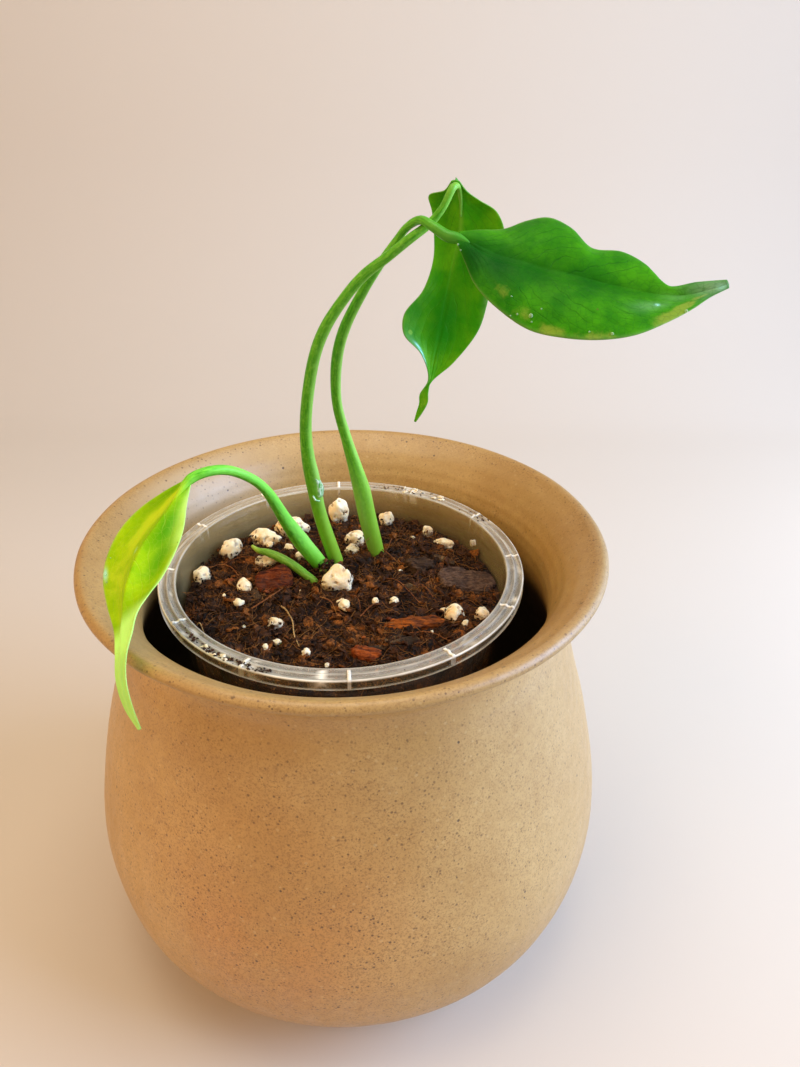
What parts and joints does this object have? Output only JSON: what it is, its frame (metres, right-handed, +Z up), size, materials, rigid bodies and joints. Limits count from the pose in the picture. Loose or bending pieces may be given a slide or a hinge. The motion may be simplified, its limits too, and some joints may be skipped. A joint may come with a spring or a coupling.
{
  "type": "potted unniiae swiss cheese plant",
  "caption": "Young unniiae swiss cheese plant with arching leaf stalks and undivided leaves, in a clear nursery pot inside a speckled tan stoneware pot.",
  "frame": {"origin": "middle of the stoneware pot's flat foot, on the surface that it stands on", "axes": "+Z up, +X to the side that the tallest leaves lean to, -Y to the front, from where the yellow-green leaf hangs over the rim at the left"},
  "size_m": [0.1731, 0.1634, 0.2332],
  "materials": {
    "stoneware": "satin, speckled",
    "clear_plastic": "clear, slightly cloudy",
    "potting_mix": "damp, fibrous",
    "stalk": "smooth living stalk",
    "young_leaf": "soft gloss",
    "leaf": "gloss",
    "crown": "rough",
    "perlite": "chalky, pitted",
    "bark": "rough, damp"
  },
  "bodies": {
    "root": {"outer_pot": "stoneware", "nursery_pot": "clear_plastic", "soil": "potting_mix", "petiole_left": "stalk", "petiole_middle": "stalk", "petiole_right": "stalk", "young_shoot": "stalk", "crown": "crown", "blade_left": "young_leaf", "blade_middle": "leaf", "blade_right": "leaf", "perlite_01": "perlite", "perlite_02": "perlite", "perlite_03": "perlite", "perlite_04": "perlite", "perlite_05": "perlite", "perlite_06": "perlite", "perlite_07": "perlite", "perlite_08": "perlite", "perlite_09": "perlite", "perlite_10": "perlite", "perlite_11": "perlite", "perlite_12": "perlite", "perlite_13": "perlite", "perlite_14": "perlite", "perlite_15": "perlite", "perlite_16": "perlite", "perlite_17": "perlite", "perlite_18": "perlite", "bark_01": "bark", "bark_02": "bark", "bark_03": "bark", "bark_04": "bark", "bark_05": "bark"}
  },
  "joints": []
}
